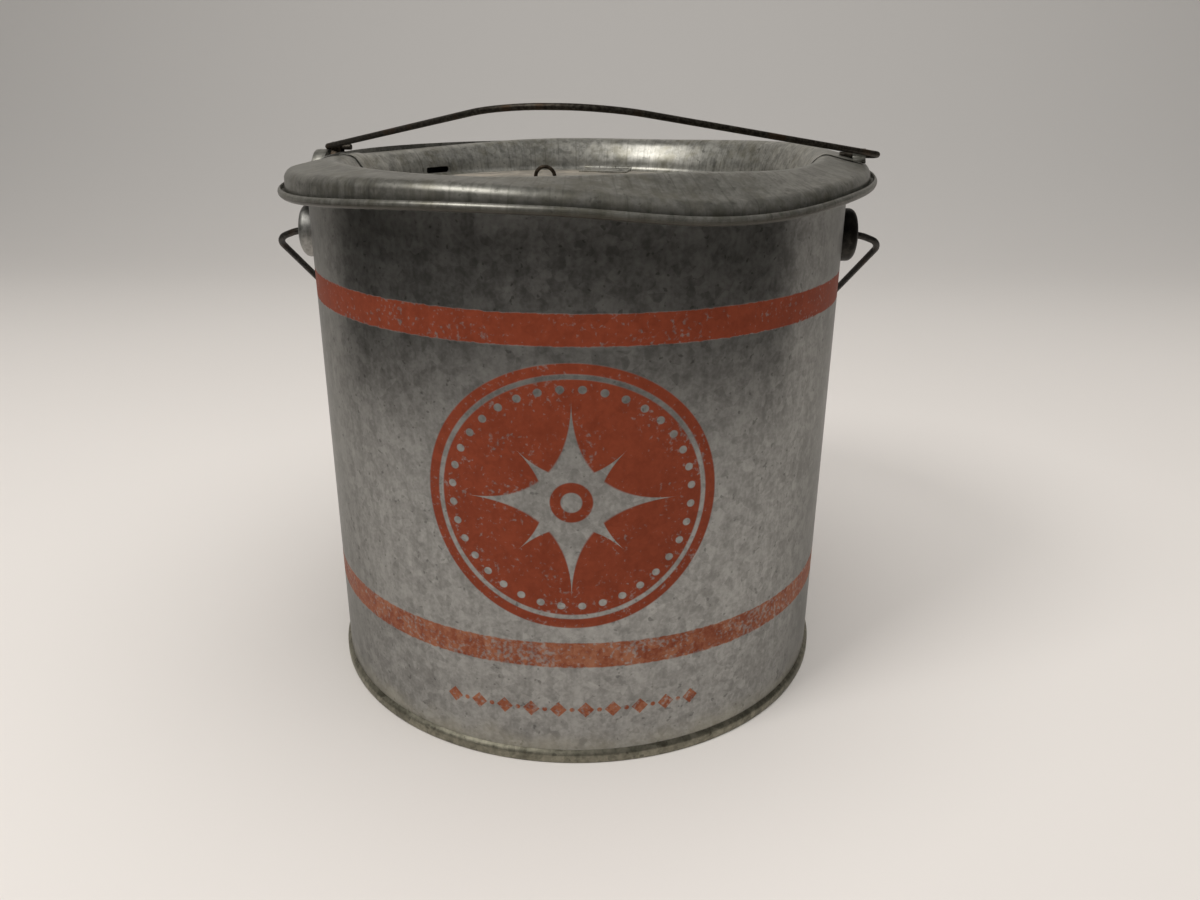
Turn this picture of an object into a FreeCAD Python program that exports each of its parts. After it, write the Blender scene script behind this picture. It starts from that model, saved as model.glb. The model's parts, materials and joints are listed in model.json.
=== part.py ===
import FreeCAD, Part
import Sketcher
import math
import os
import re

Vector = FreeCAD.Vector
Rotation = FreeCAD.Rotation
Placement = FreeCAD.Placement

# A two-piece minnow bucket: a straight sheet-metal pail and a float that hangs in it by its collar.
# X runs through the pail's ears, Y to the back, Z up, with the origin at the middle of the foot.
# Driving dimensions, in millimetres, and degrees where a name ends in slope, turn or angle.
SIZES = {
    # Pail
    "pail_radius": 114.3,
    "pail_height": 226.0,
    "sheet": 0.6,
    "lap_fit": 0.05,
    "wire_fit": 0.45,
    "seam_height": 4.0,
    "seam_reach": 1.7,
    "seam_round": 0.7,
    "bottom_recess": 4.5,
    "rim_wire": 1.5,
    "rim_turn": 300.0,
    "side_seam_width": 7.0,
    "side_seam_step": 0.9,
    "side_seam_turn": 125.0,
    # Pail ears
    "ear_drop": 30.0,
    "ear_radius": 11.5,
    "ear_depth": 9.7,
    "ear_sheet": 1.0,
    "ear_round": 3.0,
    # Pail bail
    "pail_wire": 1.6,
    "bail_play": 0.25,
    "head_radius": 3.6,
    "head_thickness": 1.8,
    "head_gap": 0.4,
    "pail_bail_out": 13.0,
    "pail_bail_bend_radius": 7.0,
    "pail_shoulder_out": 5.7,
    "pail_shoulder_drop": 56.0,
    "shoulder_bend_share": 0.464,
    "pail_crown_inset": 48.3,
    "pail_crown_over": 33.7,
    "crown_bend_share": 0.491,
    "rest_gap": 0.4,
    # Float collar
    "seat_gap": 0.3,
    "top_slope": 13.2,
    "ledge_width": 21.0,
    "ledge_edge": 4.0,
    "opening_lip": 2.5,
    "lip_bend_radius": 1.2,
    "dish_depth": 15.9,
    "dish_slant": 8.5,
    "foot_bend_radius": 6.0,
    "crest_inset": 12.8,
    "crest_bend_radius": 6.0,
    "skirt_overhang": 8.5,
    "skirt_drop": 4.4,
    "skirt_bend_radius": 3.5,
    "bead_wire": 1.05,
    "bead_turn": 250.0,
    "drain_turn": 149.0,
    "drain_width": 14.0,
    "drain_height": 2.8,
    "drain_rise": 0.6,
    # Float chamber and live well
    "throat_step": 8.0,
    "throat_flange": 3.0,
    "chamber_depth": 70.0,
    "chamber_flange": 8.0,
    "well_gap": 5.7,
    "well_lap": 6.0,
    "well_foot_gap": 11.45,
    "well_flange": 6.0,
    "hole_radius": 2.5,
    "hole_low_margin": 15.0,
    "hole_high_margin": 22.0,
    "floor_hole_margin": 16.75,
    # Float ears and bail
    "float_turn": -9.5,
    "float_axis_rise": 3.65,
    "float_ear_setback": 11.0,
    "float_ear_sheet": 1.0,
    "float_ear_half": 8.0,
    "float_ear_foot": 5.0,
    "float_ear_shoulder": 1.2,
    "float_ear_bend_radius": 1.0,
    "float_tab_radius": 4.2,
    "tab_round_share": 0.95,
    "float_wire": 1.45,
    "float_bail_tail": 5.0,
    "float_bail_out": 10.7,
    "float_bail_shift": 2.0,
    "float_bail_bend_radius": 1.8,
    "float_crown_half": 20.0,
    "float_crown_rise": 79.0,
    "float_crown_bend_radius": 40.0,
    "float_bail_angle": 75.0,
    # Lid
    "lid_lap": 4.0,
    "lid_gap": 0.2,
    "lid_hem": 3.0,
    "panel_margin": 30.0,
    "panel_rise": 1.4,
    "panel_slant": 2.5,
    # Lid hinge
    "hinge_setback": 4.0,
    "hinge_pin": 0.9,
    "hinge_fit": 0.06,
    "hinge_clear": 0.25,
    "leaf_sheet": 0.6,
    "leaf_half": 12.0,
    "lid_leaf_length": 17.0,
    "ledge_leaf_length": 8.0,
    "knuckle_half": 4.0,
    "knuckle_gap": 0.3,
    "rivet_radius": 1.0,
    "rivet_head": 2.0,
    "rivet_head_height": 0.7,
    "leaf_rivet_half": 8.5,
    "lid_rivet_setback": 11.5,
    "ledge_rivet_setback": 6.0,
    # Lid catch
    "catch_wire": 0.7,
    "catch_half": 3.6,
    "catch_setback": 6.0,
    "catch_rise": 14.0,
    "catch_bend_radius": 1.1,
    "catch_reach": 5.3,
    "catch_travel": 5.0,
    "catch_clear": 0.35,
    "guide_sheet": 0.5,
    "guide_setback": 2.5,
    "guide_depth": 3.4,
    "guide_half": 9.0,
    "guide_gap": 0.2,
    "guide_rivet_radius": 0.6,
    "guide_rivet_head": 1.2,
    # Any cut runs this far past the solid
    "overrun": 5.0,
}
# Sizes and places that follow from the driving ones.
FOLLOWING = {
    "ear_height": "pail_height - ear_drop",
    "ear_face": "pail_radius + ear_depth",
    "pail_bail_reach": "ear_face + pail_bail_out",
    "pail_crown_rise": "pail_radius + pail_crown_over",
    "pail_crown_half": "pail_radius - pail_crown_inset",
    "pail_shoulder_rise": "pail_crown_rise - pail_shoulder_drop",
    "pail_shoulder_half": "pail_radius + pail_shoulder_out",
    "pail_shoulder_run": "hypot(pail_shoulder_half - pail_crown_half; pail_shoulder_drop)",
    "pail_run_slope": "atan2(pail_shoulder_drop; pail_crown_half - pail_shoulder_half)",
    "pail_leg_slope": "atan2(pail_shoulder_rise; pail_shoulder_half - pail_bail_reach)",
    "pail_shoulder_turn": "pail_run_slope - pail_leg_slope",
    "pail_shoulder_bend": "shoulder_bend_share * pail_shoulder_run / tan(pail_shoulder_turn / 2)",
    "pail_crown_bend": "crown_bend_share * pail_shoulder_run / tan((180 deg - pail_run_slope) / 2)",
    "skirt_radius": "pail_radius + skirt_overhang",
    "crest_radius": "pail_radius - crest_inset",
    "foot_radius": "crest_radius - dish_slant",
    "opening_radius": "foot_radius - ledge_width",
    "throat_radius": "opening_radius + throat_step",
    "well_radius": "pail_radius - sheet - well_gap",
    "float_ear_place": "crest_radius + float_ear_setback",
    "float_bail_end": "float_ear_place - float_bail_tail",
    "float_bail_reach": "float_ear_place + float_bail_out",
    "lid_radius": "opening_radius + lid_lap",
    "panel_radius": "lid_radius - panel_margin",
    "hinge_place": "lid_radius + hinge_setback",
    "lid_rivet_place": "hinge_place - lid_rivet_setback",
    "ledge_rivet_place": "hinge_place + ledge_rivet_setback",
    "catch_place": "opening_radius - catch_setback",
    "guide_place": "catch_place + guide_setback",
}
WALL_ROW_COUNT = 6
WALL_HOLE_COUNT = 30
FLOOR_RING_COUNT = 3
FLOOR_HOLE_COUNT = 12

doc = FreeCAD.newDocument("minnow_bucket")
dims = doc.addObject("Spreadsheet::Sheet", "dims")
for row, (name, size) in enumerate(SIZES.items(), start=1):
    dims.set(f"A{row}", name)
    dims.set(f"B{row}", str(size))
    dims.setAlias(f"B{row}", name)
doc.recompute()


def bound(text):
    """The text of a sum, with each driving size read from the sheet and the others worked out."""
    def read(match):
        name = match[0]
        if name in FOLLOWING:
            return "(" + bound(FOLLOWING[name]) + ")"
        return "dims." + name if name in SIZES else name

    return re.sub(r"[a-z][a-z_]*", read, text)


def value(text):
    """The sum worked out as a plain number."""
    result = dims.evalExpression(bound(text))
    return float(getattr(result, "Value", result))


def bind(thing, path, text):
    thing.setExpression(path, bound(text))


def term(text):
    """A sum in brackets, so that it can stand inside another."""
    return "(" + text + ")"


# Places that several pieces share, worked out from the sizes.
WALL_INSIDE = "(pail_radius - sheet)"
LAP = "(sheet + lap_fit)"
CURL = "(rim_wire + wire_fit)"
RIM_RADIUS = term(f"pail_radius + {CURL}")
RIM_HEIGHT = term(f"pail_height - sheet - {CURL}")


def collar_top(radius):
    """Height of the collar's sloping top, which lies on the pail's rim, at a radius."""
    return term(f"{RIM_HEIGHT} + ({CURL} + 2 * sheet + seat_gap) / cos(top_slope)"
                f" - ({radius} - {RIM_RADIUS}) * tan(top_slope)")


CREST = collar_top("crest_radius")
LEDGE = term(f"{CREST} - dish_depth")
BEAD_CURL = "(bead_wire + wire_fit)"
BEAD_RADIUS = term(f"skirt_radius + {BEAD_CURL}")
BEAD_HEIGHT = term(f"{collar_top('skirt_radius')} - skirt_drop")
CHAMBER_FLOOR = term(f"{LEDGE} - chamber_depth")
WELL_FLOOR = "(bottom_recess + sheet + well_foot_gap + well_flange)"
WELL_INSIDE = "(well_radius - sheet)"
LOWER_OUTSIDE = term(f"{WELL_INSIDE} - lap_fit")
LOWER_INSIDE = term(f"{LOWER_OUTSIDE} - sheet")
FLOAT_AXIS = term(f"{collar_top('float_ear_place')} + float_axis_rise")
LID_UNDER = term(f"{LEDGE} + lid_gap")
LID_PLATE = term(f"{LID_UNDER} + sheet")
LID_TOP = term(f"{LID_PLATE} + sheet")
KNUCKLE = "(hinge_pin + hinge_fit + leaf_sheet)"
HINGE_HEIGHT = term(f"{LEDGE} + hinge_clear + {KNUCKLE}")
FINGER_HEIGHT = term(f"{LEDGE} - opening_lip - catch_clear - catch_wire")
GUIDE_FLOOR = term(f"{FINGER_HEIGHT} - catch_wire - guide_gap")
GUIDE_INSIDE = "(catch_half + catch_wire + guide_gap)"
GUIDE_OUTSIDE = term(f"{GUIDE_INSIDE} + guide_sheet")
GUIDE_RIVET = term(f"({GUIDE_OUTSIDE} + guide_half) / 2")
LID_LEAF = term(f"{LID_TOP} + lap_fit")
LEDGE_LEAF = term(f"{LEDGE} + lap_fit")
MIDDLE_KNUCKLE = [("0 - knuckle_half", "knuckle_half")]
OUTER_KNUCKLES = [("0 - leaf_half", "0 - knuckle_half - knuckle_gap"),
                  ("knuckle_half + knuckle_gap", "leaf_half")]
BAIL_LEAN = term("180 deg - asin((pail_radius + pail_wire + rest_gap) / pail_crown_rise)")
SIDES = (("left", -1), ("right", 1))


def plane(body, role):
    return next(f for f in body.Origin.OriginFeatures if f.Role == role)


def new_body(name):
    body = doc.addObject("PartDesign::Body", name)
    body.Label = name
    return body


def body_sketch(body, name, role):
    sketch = body.newObject("Sketcher::SketchObject", name)
    sketch.AttachmentSupport = (plane(body, role), "")
    sketch.MapMode = "FlatFace"
    return sketch


def upright_sketch(name):
    """A sketch by itself, whose x is the radius and whose y is the height."""
    sketch = doc.addObject("Sketcher::SketchObject", name)
    sketch.Placement = Placement(Vector(), Rotation(Vector(1, 0, 0), 90))
    return sketch


def constrain(sketch, text, *terms):
    """Add a constraint whose size follows the sheet."""
    is_angle = terms[0] == "Angle"
    size = math.radians(value(text)) if is_angle else value(text)
    number = sketch.addConstraint(Sketcher.Constraint(*terms, size))
    bind(sketch, f"Constraints[{number}]", term(text) + " * 1 deg" if is_angle else text)


def pin_point(sketch, geometry, end, corner):
    constrain(sketch, corner[0], "DistanceX", -1, 1, geometry, end)
    constrain(sketch, corner[1], "DistanceY", -1, 1, geometry, end)


def draw_lines(sketch, corners, bends=None, closed=False):
    """Straight runs from corner to corner, with the corners that bends names rounded."""
    places = [Vector(value(x), value(y), 0) for x, y in corners]
    ends = places[1:] + places[:1] if closed else places[1:]
    lines = [sketch.addGeometry(Part.LineSegment(a, b)) for a, b in zip(places, ends)]
    for before, after in zip(lines, lines[1:]):
        sketch.addConstraint(Sketcher.Constraint("Coincident", before, 2, after, 1))
    if closed:
        sketch.addConstraint(Sketcher.Constraint("Coincident", lines[-1], 2, lines[0], 1))
    for line, corner in zip(lines, corners):
        pin_point(sketch, line, 1, corner)
    if not closed:
        pin_point(sketch, lines[-1], 2, corners[-1])
    for index, radius in (bends or {}).items():
        arc = sketch.GeometryCount
        sketch.fillet(lines[index], 1, value(radius), True, True)
        constrain(sketch, radius, "Radius", arc)
    return lines


def draw_curl(sketch, line, centre, radius, turn, clockwise):
    """An arc that starts at the end of a run, on the inner side of the wire it wraps."""
    sweep = math.radians(value(turn))
    first, last = (math.pi - sweep, math.pi) if clockwise else (math.pi, math.pi + sweep)
    circle = Part.Circle(Vector(value(centre[0]), value(centre[1]), 0), Vector(0, 0, 1), value(radius))
    arc = sketch.addGeometry(Part.ArcOfCircle(circle, first, last))
    sketch.addConstraint(Sketcher.Constraint("Tangent", line, 2, arc, 2 if clockwise else 1))
    constrain(sketch, radius, "Radius", arc)
    constrain(sketch, turn, "Angle", arc)


def draw_circle(sketch, centre, radius):
    place = Vector(value(centre[0]), value(centre[1]), 0)
    circle = sketch.addGeometry(Part.Circle(place, Vector(0, 0, 1), value(radius)))
    pin_point(sketch, circle, 3, centre)
    constrain(sketch, radius, "Radius", circle)


def spun_sheet(name, corners, bends, thickness, side, curl=None, turn="360"):
    """A section of sheet, drawn as one face of it, given its thickness and turned about Z."""
    sketch = upright_sketch(name + "_line")
    lines = draw_lines(sketch, corners, bends)
    if curl:
        draw_curl(sketch, lines[-1], *curl)
    section = doc.addObject("Part::Offset2D", name + "_section")
    section.Source = sketch
    section.Mode = "Skin"
    section.Fill = True
    bind(section, "Value", f"{side} * {thickness}")
    spun = doc.addObject("Part::Revolution", name + "_spun")
    spun.Source = section
    spun.Axis = Vector(0, 0, 1)
    spun.Solid = True
    bind(spun, "Angle", turn)
    return spun


def spun_body(body, name, corners, axis="V_Axis", bends=None):
    """A closed outline turned once about an axis of its sketch."""
    sketch = body_sketch(body, name + "_outline", "XZ_Plane")
    draw_lines(sketch, corners, bends, closed=True)
    feature = body.newObject("PartDesign::Revolution", name + "_turned")
    feature.Profile = sketch
    feature.ReferenceAxis = (sketch, [axis])
    feature.Angle = 360
    return feature


def box(name, low, high):
    """A block between two corners."""
    block = doc.addObject("Part::Box", name)
    for side, start, end, axis in zip(("Length", "Width", "Height"), low, high, "xyz"):
        bind(block, side, f"({end}) - ({start})")
        bind(block, f"Placement.Base.{axis}", start)
    return block


def rod(name, radius, start, length, direction=Vector(0, 0, 1)):
    """A round bar from a point along a direction."""
    bar = doc.addObject("Part::Cylinder", name)
    bind(bar, "Radius", radius)
    bind(bar, "Height", length)
    bar.Placement = Placement(Vector(), Rotation(Vector(0, 0, 1), direction))
    for axis, place in zip("xyz", start):
        bind(bar, f"Placement.Base.{axis}", place)
    return bar


def ring(name, radius, wire, centre, turn="360", rotation=Rotation()):
    """A wire bent into a ring, or part of one that starts along the rotation's X."""
    torus = doc.addObject("Part::Torus", name)
    bind(torus, "Radius1", radius)
    bind(torus, "Radius2", wire)
    bind(torus, "Angle3", turn)
    torus.Placement = Placement(Vector(), rotation)
    for axis, place in zip("xyz", centre):
        bind(torus, f"Placement.Base.{axis}", place)
    return torus


def joined(name, pieces):
    fuse = doc.addObject("Part::MultiFuse", name)
    fuse.Shapes = pieces
    return fuse


def cut(name, base, tools):
    """A piece less its holes and notches."""
    result = doc.addObject("Part::Cut", name)
    result.Base = base
    result.Tool = tools[0] if len(tools) == 1 else joined(name + "_tools", tools)
    return result


def grouped(name, pieces):
    group = doc.addObject("Part::Compound", name)
    group.Links = pieces
    return group


def turned(piece, angle):
    """Turn a finished piece about the bucket's upright axis."""
    bind(piece, "Placement.Rotation.Angle", f"({angle}) * 1 deg")
    return piece


def leaned(piece, angle, height):
    """Lean a bail about the line through its ears, and lift it to them."""
    piece.Placement = Placement(Vector(), Rotation(Vector(1, 0, 0), value(angle)))
    bind(piece, "Placement.Rotation.Angle", f"({angle}) * 1 deg")
    bind(piece, "Placement.Base.z", height)
    return piece


def bent_wire(body, name, corners, bends, wire):
    """A wire that follows straight runs and a half's bends, from a start that points along X."""
    path = body_sketch(body, name + "_path", "XZ_Plane")
    draw_lines(path, corners, dict(enumerate(bends + bends[::-1], start=1)))
    section = body_sketch(body, name + "_section", "YZ_Plane")
    draw_circle(section, ("0", corners[0][1]), wire)
    bind(section, "AttachmentOffset.Base.z", corners[0][0])
    doc.recompute()
    pipe = body.newObject("PartDesign::AdditivePipe", name + "_pipe")
    pipe.Profile = section
    pipe.Spine = (path, [f"Edge{n}" for n in range(1, len(path.Shape.Edges) + 1)])
    return pipe


def mirrored_path(half):
    """The right half of a bail, and its mirror image."""
    return half + [(term(f"0 - ({x})"), y) for x, y in reversed(half)]


def outline_prism(name, corners, bends, length):
    """A closed outline in Y and Z, pulled along X."""
    sketch = doc.addObject("Sketcher::SketchObject", name + "_outline")
    sketch.Placement = Placement(Vector(), Rotation(Vector(1, 1, 1), 120))
    draw_lines(sketch, corners, bends, closed=True)
    prism = doc.addObject("Part::Extrusion", name)
    prism.Base = sketch
    prism.DirMode = "Custom"
    prism.Dir = Vector(1, 0, 0)
    prism.Solid = True
    bind(prism, "LengthFwd", length)
    return prism


def tube(name, outside, inside, low, high, turn="360"):
    """A straight round wall, or a strip of one."""
    walls = []
    for which, radius, reach in (("outside", outside, "0"), ("inside", inside, "overrun")):
        walls.append(rod(f"{name}_{which}", radius, ("0", "0", f"{low} - {reach}"),
                         f"{high} - {low} + 2 * {reach}"))
    bind(walls[0], "Angle", turn)
    return cut(name, walls[0], walls[1:])


def patterned_holes(body, name, role, distance, circles, count):
    """Round holes through a wall that lies a distance from an origin plane, repeated about Z."""
    sketch = body_sketch(body, name + "_places", role)
    bind(sketch, "AttachmentOffset.Base.z", distance)
    for centre in circles:
        draw_circle(sketch, centre, "hole_radius")
    pocket = body.newObject("PartDesign::Pocket", name + "_first")
    pocket.Profile = sketch
    pocket.Midplane = True
    bind(pocket, "Length", "2 * overrun")
    doc.recompute()
    pattern = body.newObject("PartDesign::PolarPattern", name + "_all")
    pattern.Originals = [pocket]
    pattern.Axis = (plane(body, "Z_Axis"), [""])
    pattern.Occurrences = count
    pattern.Angle = 360
    body.Tip = pattern


def rivet(name, x, y, low, high, radius, head, head_height):
    """A shank with a sloped head at each end, between two outer faces."""
    shank = rod(name + "_shank", radius, (x, y, low), f"({high}) - ({low})")
    heads = []
    ends = (("top", high, head, radius), ("tail", f"{low} - {head_height}", radius, head))
    for which, start, foot, crown in ends:
        cone = doc.addObject("Part::Cone", f"{name}_{which}")
        bind(cone, "Radius1", foot)
        bind(cone, "Radius2", crown)
        bind(cone, "Height", head_height)
        for axis, place in zip("xyz", (x, y, start)):
            bind(cone, f"Placement.Base.{axis}", place)
        heads.append(cone)
    return joined(name, [shank] + heads)


def make_pail_wall():
    """The rolled cylinder, curled over the rim wire, with the folded seam that closes it."""
    curl = ((RIM_RADIUS, RIM_HEIGHT), CURL, "rim_turn", True)
    line = [("pail_radius", "sheet + lap_fit"), ("pail_radius", RIM_HEIGHT)]
    cylinder = spun_sheet("pail_cylinder", line, {}, "sheet", 1, curl)
    top = term(f"{RIM_HEIGHT} - {CURL} - sheet - lap_fit")
    seam = tube("pail_side_seam", "(pail_radius + side_seam_step)", "(pail_radius - sheet / 2)",
                "(seam_height + lap_fit)", top, "side_seam_width / pail_radius * 180 / pi")
    return turned(joined("pail_wall", [cylinder, seam]), "side_seam_turn")


def make_pail_bottom():
    """The sunk floor, whose edge is turned up round the foot of the wall."""
    body = new_body("pail_bottom")
    leg = term(f"{WALL_INSIDE} - lap_fit")
    outer = "(pail_radius + seam_reach)"
    slot = "(pail_radius + lap_fit)"
    corners = [("0", "bottom_recess"), (f"{leg} - sheet", "bottom_recess"), (f"{leg} - sheet", "0"),
               (outer, "0"), (outer, "seam_height"), (slot, "seam_height"), (slot, "sheet"),
               (leg, "sheet"), (leg, "bottom_recess + sheet"), ("0", "bottom_recess + sheet")]
    spun_body(body, "pail_floor", corners, bends={3: "seam_round", 4: "seam_round"})
    return body


def make_pail_ear(name, turn):
    """A pressed cup on the wall, hollow for the head of the bail."""
    body = new_body(name)
    root = "(pail_radius - overrun)"
    hole = "(pail_wire + bail_play)"
    corners = [(root, "ear_radius"), ("ear_face", "ear_radius"), ("ear_face", hole),
               ("ear_face - ear_sheet", hole), ("ear_face - ear_sheet", "ear_radius - ear_sheet"),
               (root, "ear_radius - ear_sheet")]
    spun_body(body, name, corners, "H_Axis", {1: "ear_round", 4: "(ear_round - ear_sheet)"})
    sketch = body_sketch(body, name + "_wall", "XY_Plane")
    draw_circle(sketch, ("0", "0"), "(pail_radius + lap_fit)")
    pocket = body.newObject("PartDesign::Pocket", name + "_seat")
    pocket.Profile = sketch
    pocket.Midplane = True
    bind(pocket, "Length", "2 * (ear_radius + overrun)")
    bind(body, "Placement.Base.z", "ear_height")
    return turned(body, turn)


def make_pail_bail():
    """The carrying wire, with a flattened head inside each ear."""
    body = new_body("pail_bail")
    seat = "(ear_face - ear_sheet - head_gap)"
    half = [(f"{seat} - head_thickness / 2", "0"), ("pail_bail_reach", "0"),
            ("pail_shoulder_half", "pail_shoulder_rise"), ("pail_crown_half", "pail_crown_rise")]
    bends = ["pail_bail_bend_radius", "pail_shoulder_bend", "pail_crown_bend"]
    bent_wire(body, "pail_bail", mirrored_path(half), bends, "pail_wire")
    for side, start in (("right", f"{seat} - head_thickness"), ("left", f"0 - {seat}")):
        sketch = body_sketch(body, f"pail_bail_{side}_head_outline", "YZ_Plane")
        draw_circle(sketch, ("0", "0"), "head_radius")
        bind(sketch, "AttachmentOffset.Base.z", start)
        pad = body.newObject("PartDesign::Pad", f"pail_bail_{side}_head")
        pad.Profile = sketch
        bind(pad, "Length", "head_thickness")
    return leaned(body, f"360 - {BAIL_LEAN} / 1 deg", "ear_height")


def make_float_collar():
    """The formed ring: foot flange, dish wall, sloping top, skirt and the bead curled round a wire."""
    flange = f"{LEDGE} - {LAP}"
    corners = [("throat_radius + throat_flange + seat_gap", flange),
               (f"foot_radius - {LAP} * dish_slant / dish_depth", flange), ("crest_radius", CREST),
               ("skirt_radius", collar_top("skirt_radius")), ("skirt_radius", BEAD_HEIGHT)]
    bends = {1: "foot_bend_radius", 2: "crest_bend_radius", 3: "skirt_bend_radius"}
    curl = ((BEAD_RADIUS, BEAD_HEIGHT), BEAD_CURL, "bead_turn", False)
    blank = spun_sheet("collar_blank", corners, bends, "sheet", -1, curl)
    low = f"{LEDGE} + drain_rise"
    drain = box("drain_slot", ("foot_radius - overrun", "0 - drain_width / 2", low),
                ("crest_radius", "drain_width / 2", f"{low} + drain_height"))
    holes = leaf_rivet_holes("collar", "ledge_rivet_place")
    return cut("float_collar", blank, [turned(drain, "drain_turn"), holes])


def make_float_ledge():
    """The flat ring that the lid lies on, lipped at the opening and seated on the collar's flange."""
    corners = [("opening_radius", f"{LEDGE} - opening_lip"), ("opening_radius", LEDGE),
               ("foot_radius - ledge_edge", LEDGE)]
    blank = spun_sheet("ledge_blank", corners, {1: "lip_bend_radius"}, "sheet", -1)
    return cut("float_ledge", blank, [leaf_rivet_holes("ledge", "ledge_rivet_place")])


def leaf_rivet_holes(name, place):
    """Holes for the two rivets of a hinge leaf, where the float's own direction puts them."""
    holes = [rod(f"{name}_{side}_rivet_hole", "rivet_radius + lap_fit",
                 (f"{sign} * leaf_rivet_half", place, f"{LEDGE} - overrun"), "2 * overrun")
             for side, sign in SIDES]
    return turned(joined(name + "_rivet_holes", holes), "float_turn")


def make_throat_tube():
    """The tube that a hand reaches down, flanged against the underside of the ledge."""
    top = f"{LEDGE} - {LAP}"
    corners = [("throat_radius + throat_flange", top), ("throat_radius", top),
               ("throat_radius", f"{CHAMBER_FLOOR} + lip_bend_radius")]
    return spun_sheet("throat_tube", corners, {1: "lip_bend_radius"}, "sheet", 1)


def make_air_chamber_floor():
    """The ring that seals the air chamber from below, with both its edges turned up."""
    inner = "(throat_radius - lap_fit)"
    outer = term(f"{LOWER_INSIDE} - {LAP}")
    top = f"{CHAMBER_FLOOR} + chamber_flange"
    corners = [(inner, top), (inner, CHAMBER_FLOOR), (outer, CHAMBER_FLOOR), (outer, top)]
    bends = {1: "lip_bend_radius", 2: "lip_bend_radius"}
    return spun_sheet("air_chamber_floor", corners, bends, "sheet", -1)


def make_well_band():
    """The plain upper wall of the float, soldered to the collar."""
    top = term(f"{collar_top('well_radius')} - sheet / cos(top_slope) - lap_fit")
    return tube("well_band", "well_radius", WELL_INSIDE, term(f"{CHAMBER_FLOOR} - chamber_flange"), top)


def make_well_screen():
    """The pierced lower wall, lapped inside the band."""
    body = new_body("well_screen")
    low = term(f"{WELL_FLOOR} - well_flange")
    high = term(f"{CHAMBER_FLOOR} + well_lap")
    corners = [(LOWER_INSIDE, low), (LOWER_OUTSIDE, low), (LOWER_OUTSIDE, high), (LOWER_INSIDE, high)]
    spun_body(body, "well_screen", corners)
    first, last = term(f"{WELL_FLOOR} + hole_low_margin"), term(f"{CHAMBER_FLOOR} - hole_high_margin")
    pitch = term(f"({last} - {first}) / {WALL_ROW_COUNT - 1}")
    rows = [("0", f"{first} + {row} * {pitch}") for row in range(WALL_ROW_COUNT)]
    patterned_holes(body, "well_screen_holes", "XZ_Plane", LOWER_INSIDE, rows, WALL_HOLE_COUNT)
    return body


def make_well_floor():
    """The pierced floor, flanged down inside the lower wall."""
    body = new_body("well_floor")
    edge = term(f"{LOWER_INSIDE} - lap_fit")
    low, under = f"{WELL_FLOOR} - well_flange", f"{WELL_FLOOR} - sheet"
    corners = [("0", WELL_FLOOR), (edge, WELL_FLOOR), (edge, low), (f"{edge} - sheet", low),
               (f"{edge} - sheet", under), ("0", under)]
    spun_body(body, "well_floor", corners)
    pitch = term(f"({LOWER_INSIDE} - floor_hole_margin) / {FLOOR_RING_COUNT}")
    rings = [(f"{number} * {pitch}", "0") for number in range(1, FLOOR_RING_COUNT + 1)]
    patterned_holes(body, "well_floor_holes", "XY_Plane", WELL_FLOOR, rings, FLOOR_HOLE_COUNT)
    return body


def make_float_ear(name, turn):
    """A strap that follows the dish wall and the crest, then stands up as a tab with a hole."""
    foot = "(foot_radius + (crest_radius - foot_radius) * float_ear_foot / dish_depth)"
    top = term(f"{FLOAT_AXIS} + float_tab_radius")
    corners = [(f"{foot} - lap_fit", f"{LEDGE} + float_ear_foot + lap_fit"),
               ("crest_radius - lap_fit", f"{CREST} + lap_fit"),
               ("float_ear_place", collar_top("(float_ear_place + lap_fit)") + " + lap_fit"),
               ("float_ear_place", f"{top} + overrun")]
    spread = "(2 * asin(float_ear_half / float_ear_place))"
    bends = {1: "crest_bend_radius", 2: "float_ear_bend_radius"}
    strap = spun_sheet(name + "_strap", corners, bends, "float_ear_sheet", 1, turn=spread)
    turned(strap, f"0 - {spread} / 2 / 1 deg")
    shoulder = term(f"{collar_top('float_ear_place')} + float_ear_shoulder")
    wide = "(float_ear_half + overrun)"
    side = [(wide, LEDGE), (wide, shoulder), ("float_ear_half", shoulder),
            ("float_tab_radius", FLOAT_AXIS), ("float_tab_radius", top)]
    tab_round = "(tab_round_share * float_tab_radius)"
    prism = outline_prism(name + "_side", mirrored_path(side), {4: tab_round, 5: tab_round},
                          "float_ear_place + overrun")
    shaped = doc.addObject("Part::Common", name + "_shaped")
    shaped.Base = strap
    shaped.Tool = prism
    hole = rod(name + "_hole", "float_wire + bail_play", ("crest_radius", "0", FLOAT_AXIS),
               "float_ear_place - crest_radius + overrun", Vector(1, 0, 0))
    return turned(cut(name, shaped, [hole]), turn)


def make_float_bail():
    """The lifting wire of the float, hooked inwards through both ears and slid to one side."""
    body = new_body("float_bail_wire")
    half = [("float_bail_end", "0"), ("float_bail_reach", "0"), ("float_crown_half", "float_crown_rise")]
    bends = ["float_bail_bend_radius", "float_crown_bend_radius"]
    bent_wire(body, "float_bail", mirrored_path(half), bends, "float_wire")
    bind(leaned(body, "float_bail_angle", FLOAT_AXIS), "Placement.Base.x", "float_bail_shift")
    return turned(grouped("float_bail", [body]), "float_turn")


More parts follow.
